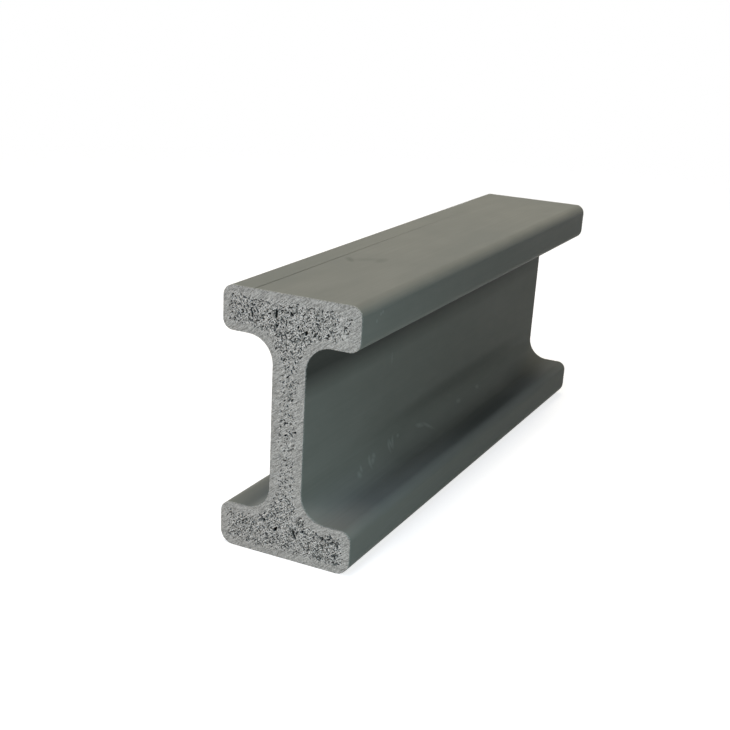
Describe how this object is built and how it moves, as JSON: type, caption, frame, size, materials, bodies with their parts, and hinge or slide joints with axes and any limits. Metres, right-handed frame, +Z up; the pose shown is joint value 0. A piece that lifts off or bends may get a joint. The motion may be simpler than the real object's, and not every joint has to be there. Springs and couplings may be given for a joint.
{
  "type": "plastic formwork beam",
  "caption": "Sawn length of extruded foamed-plastic I-section beam with rounded flange edges, hollow roots and a porous core showing at its cut ends.",
  "frame": {"origin": "middle of the face that the beam stands on, under the middle of its length", "axes": "+Z up through the depth of the section, +Y along the length, +X across the flanges"},
  "size_m": [0.0544, 0.25, 0.1],
  "materials": {
    "extruded_skin": "satin grey-green extruded skin with fine lengthwise drawing lines; sawn ends are lighter matt foam with dark pores"
  },
  "bodies": {
    "root": {"beam": "extruded_skin"}
  },
  "joints": []
}
